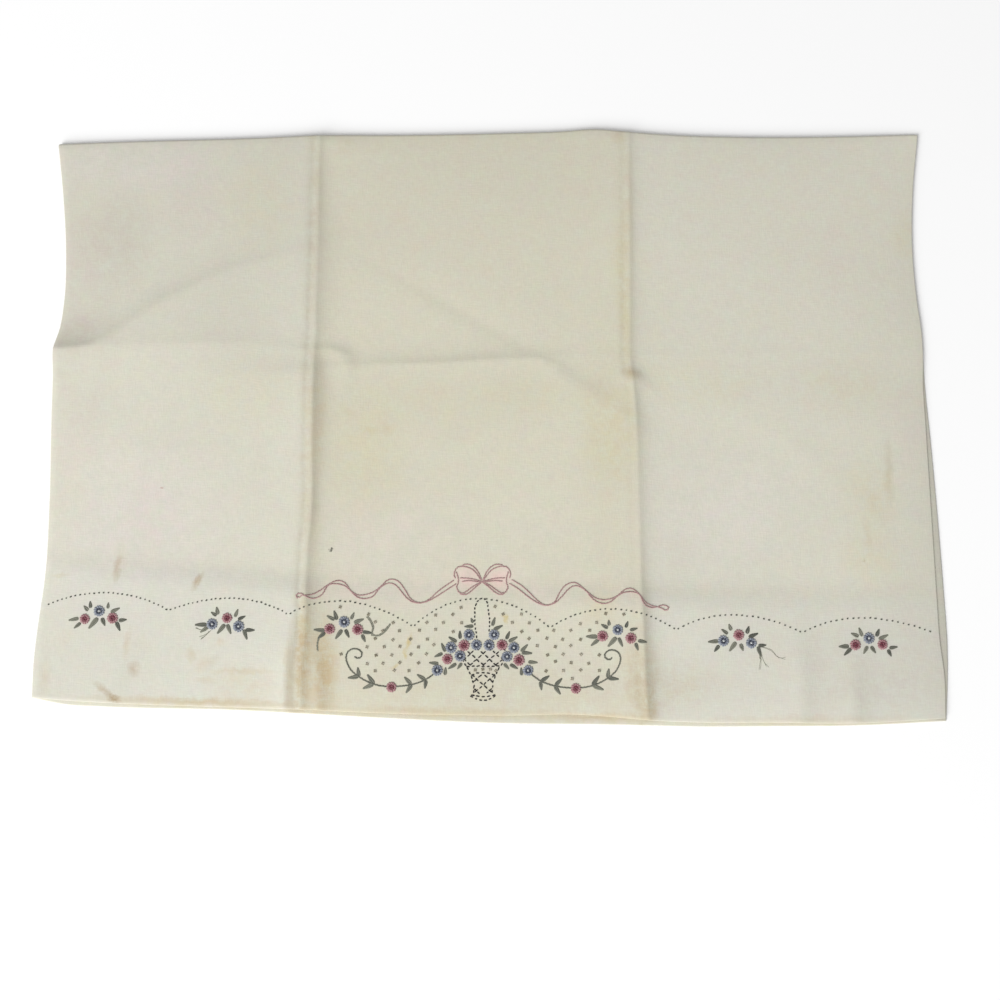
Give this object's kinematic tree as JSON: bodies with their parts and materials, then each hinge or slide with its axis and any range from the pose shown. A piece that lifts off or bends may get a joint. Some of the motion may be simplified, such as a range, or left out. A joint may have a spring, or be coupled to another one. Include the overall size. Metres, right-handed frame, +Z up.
{
  "type": "folded embroidered pillowcase",
  "caption": "Cotton pillowcase folded once in half and lying flat, open at its hem, with an embroidered band of scallops, flower sprigs and a flower basket along the hem.",
  "frame": {"origin": "on the surface it lies on, under the middle of its bounding box", "axes": "+X along the hem, to the right as the embroidery is seen upright; +Y from the hem to the fold; +Z up"},
  "size_m": [0.537, 0.3654, 0.011],
  "materials": {
    "cream_cotton": "plain-woven cotton, matt, aged to cream with faint brown storage stains",
    "pink_thread": "stranded cotton floss, soft sheen",
    "rose_thread": "stranded cotton floss, soft sheen",
    "blue_thread": "stranded cotton floss, soft sheen",
    "green_thread": "stranded cotton floss, soft sheen",
    "dark_thread": "stranded cotton floss, soft sheen",
    "tan_thread": "stranded cotton floss, soft sheen"
  },
  "bodies": {
    "root": {"pillowcase": "cream_cotton"}
  },
  "joints": []
}
